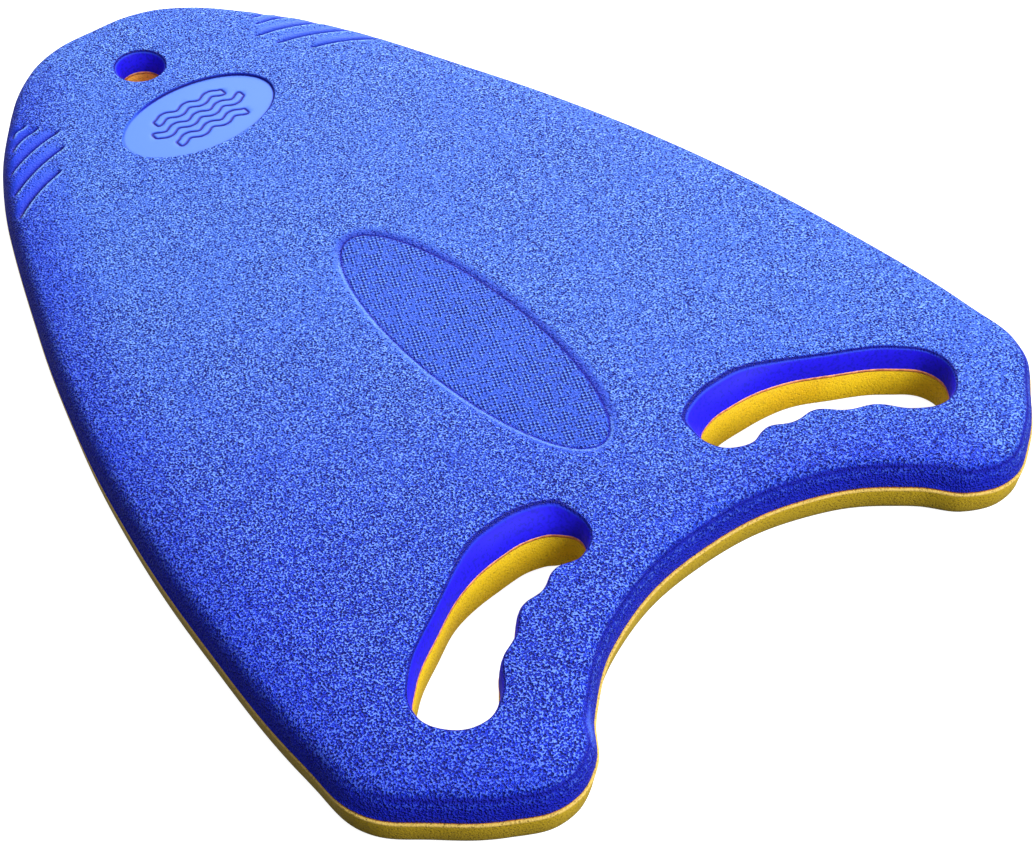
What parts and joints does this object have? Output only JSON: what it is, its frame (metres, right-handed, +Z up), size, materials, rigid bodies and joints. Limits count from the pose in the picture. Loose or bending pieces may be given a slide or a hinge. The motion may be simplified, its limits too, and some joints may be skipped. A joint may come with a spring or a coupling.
{
  "type": "kickboard float",
  "caption": "Flat two-colour foam swimming kickboard with a blunt nose, two curved finger-grip hand slots, a round nose hole and a hollow tail.",
  "frame": {"origin": "middle of the board's bounding box in plan, on the plane of the underside", "axes": "+Y to the nose, +X to the right of the board, +Z up out of the deck"},
  "size_m": [0.3214, 0.4312, 0.024],
  "materials": {
    "blue_eva_foam": "closed-cell EVA foam with a pebbled moulded skin",
    "amber_adhesive": "thin heat-bond film, seen only as a seam line",
    "yellow_eva_foam": "closed-cell EVA foam, smooth satin skin"
  },
  "bodies": {
    "root": {"top_layer": "blue_eva_foam", "bond_film": "amber_adhesive", "bottom_layer": "yellow_eva_foam"}
  },
  "joints": []
}
